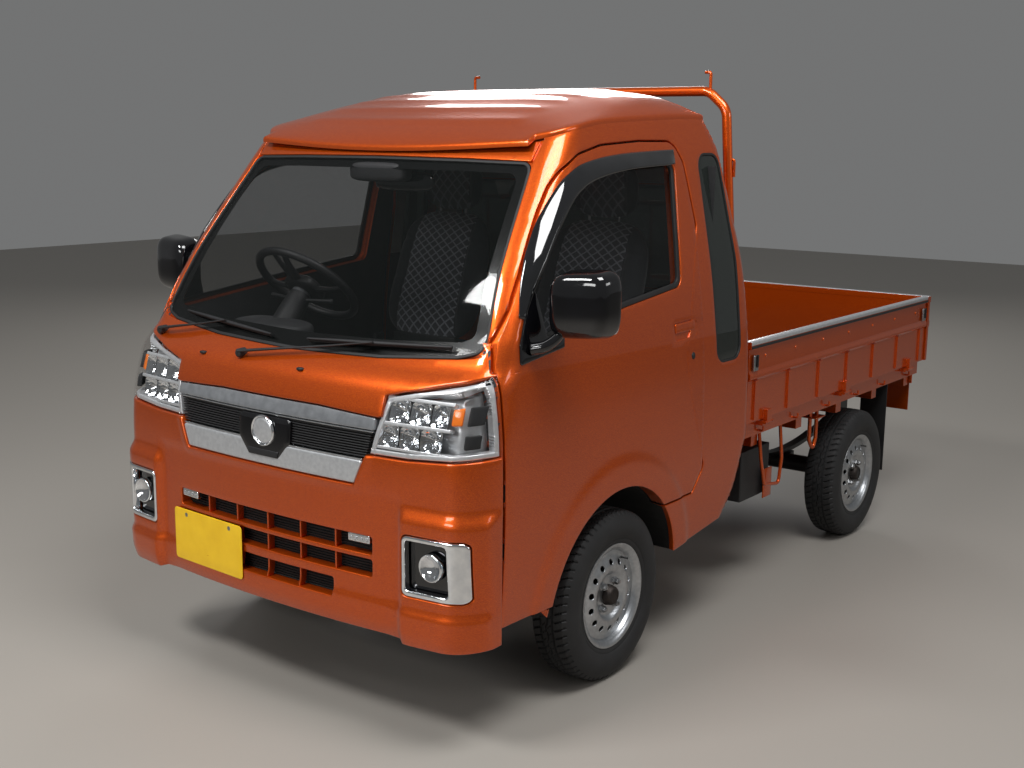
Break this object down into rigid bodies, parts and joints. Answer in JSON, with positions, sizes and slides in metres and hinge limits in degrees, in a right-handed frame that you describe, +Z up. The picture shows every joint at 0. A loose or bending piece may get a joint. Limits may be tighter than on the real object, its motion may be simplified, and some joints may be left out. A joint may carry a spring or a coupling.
{
  "type": "kei truck",
  "caption": "Small cab-over truck with a steel drop-side bed: wheels roll and steer, doors open, and the side gates and tailgate drop.",
  "frame": {"origin": "on the ground, midway along and across the vehicle", "axes": "+X to the vehicle's left, -Y forwards, +Z up"},
  "size_m": [1.8634, 3.395, 1.885],
  "materials": {
    "frame_black": "satin",
    "orange_paint": "metallic gloss",
    "grille_black": "matte",
    "lamp_clear": "clear over chrome",
    "bright_trim": "satin chrome",
    "window_glass": "clear",
    "gloss_black": "gloss",
    "cabin_plastic": "grained",
    "seat_fabric": "woven",
    "cast_dark": "rough",
    "tyre_rubber": "matte",
    "wheel_silver": "silver paint",
    "engine_alloy": "cast",
    "exhaust_steel": "dull",
    "flap_rubber": "matte",
    "lamp_red": "clear red",
    "plate_yellow": "semi-gloss"
  },
  "bodies": {
    "chassis": {"chassis_frame": "frame_black", "cab_floor": "orange_paint", "cab_shell": "orange_paint", "cab_roof": "orange_paint", "front_panel": "orange_paint", "front_bumper": "orange_paint", "front_grille": "grille_black", "headlamps": "lamp_clear", "fog_lamps": "bright_trim", "windscreen": "window_glass", "cab_glass": "window_glass", "door_hinges": "frame_black", "dashboard": "cabin_plastic", "seat_left": "seat_fabric", "seat_right": "seat_fabric", "wipers": "grille_black", "bed_deck": "orange_paint", "bed_beams": "orange_paint", "guard_frame": "orange_paint", "front_suspension": "frame_black", "rear_axle": "cast_dark", "leaf_springs": "frame_black", "engine": "engine_alloy", "fuel_tank": "frame_black", "battery_box": "grille_black", "exhaust": "exhaust_steel", "mudflaps": "flap_rubber", "tail_lamps": "lamp_red", "number_plates": "plate_yellow"},
    "door_left": {"door_left": "orange_paint", "door_glass_left": "window_glass", "mirror_left": "gloss_black"},
    "door_right": {"door_right": "orange_paint", "door_glass_right": "window_glass", "mirror_right": "gloss_black"},
    "side_gate_left": {"side_gate_left": "orange_paint"},
    "side_gate_right": {"side_gate_right": "orange_paint"},
    "tailgate": {"tailgate": "orange_paint"},
    "knuckle_left": {"knuckle_left": "cast_dark"},
    "knuckle_right": {"knuckle_right": "cast_dark"},
    "steering_wheel": {"steering_wheel": "cabin_plastic"},
    "wheel_front_left": {"tyre_front_left": "tyre_rubber", "rim_front_left": "wheel_silver"},
    "wheel_front_right": {"tyre_front_right": "tyre_rubber", "rim_front_right": "wheel_silver"},
    "wheel_rear_left": {"tyre_rear_left": "tyre_rubber", "rim_rear_left": "wheel_silver"},
    "wheel_rear_right": {"tyre_rear_right": "tyre_rubber", "rim_rear_right": "wheel_silver"}
  },
  "joints": [
    {"name": "steer_left", "type": "hinge", "parent": "chassis", "child": "knuckle_left", "pos_m": [0.5575, -0.9305, 0.2675], "axis": [0, 0, 1], "range_deg": [-33, 33]},
    {"name": "steer_right", "type": "hinge", "parent": "chassis", "child": "knuckle_right", "pos_m": [-0.5575, -0.9305, 0.2675], "axis": [0, 0, 1], "range_deg": [-33, 33]},
    {"name": "steering_wheel_turn", "type": "hinge", "parent": "chassis", "child": "steering_wheel", "pos_m": [-0.32007, -1.2005, 1.172], "axis": [0, 0.6691, 0.7431], "range_deg": [-495, 495]},
    {"name": "spin_front_left", "type": "hinge", "parent": "knuckle_left", "child": "wheel_front_left", "pos_m": [0.6525, -0.9305, 0.2675], "axis": [1, 0, 0], "continuous": true},
    {"name": "spin_front_right", "type": "hinge", "parent": "knuckle_right", "child": "wheel_front_right", "pos_m": [-0.6525, -0.9305, 0.2675], "axis": [1, 0, 0], "continuous": true},
    {"name": "spin_rear_left", "type": "hinge", "parent": "chassis", "child": "wheel_rear_left", "pos_m": [0.65, 0.9695, 0.2675], "axis": [1, 0, 0], "continuous": true},
    {"name": "spin_rear_right", "type": "hinge", "parent": "chassis", "child": "wheel_rear_right", "pos_m": [-0.65, 0.9695, 0.2675], "axis": [1, 0, 0], "continuous": true},
    {"name": "door_left_swing", "type": "hinge", "parent": "chassis", "child": "door_left", "pos_m": [0.7279, -1.501, 0.7], "axis": [0, 0, -1], "range_deg": [0, 65]},
    {"name": "door_right_swing", "type": "hinge", "parent": "chassis", "child": "door_right", "pos_m": [-0.7279, -1.501, 0.7], "axis": [0, 0, 1], "range_deg": [0, 65]},
    {"name": "side_gate_left_drop", "type": "hinge", "parent": "chassis", "child": "side_gate_left", "pos_m": [0.7315, 0.75, 0.65], "axis": [0, 1, 0], "range_deg": [0, 175]},
    {"name": "side_gate_right_drop", "type": "hinge", "parent": "chassis", "child": "side_gate_right", "pos_m": [-0.7315, 0.75, 0.65], "axis": [0, -1, 0], "range_deg": [0, 175]},
    {"name": "tailgate_drop", "type": "hinge", "parent": "chassis", "child": "tailgate", "pos_m": [0, 1.692, 0.65], "axis": [-1, 0, 0], "range_deg": [0, 175]}
  ],
  "couplings": [
    {"joint": "steer_right", "follows": "steer_left", "ratio": 1},
    {"joint": "steering_wheel_turn", "follows": "steer_left", "ratio": 15}
  ]
}
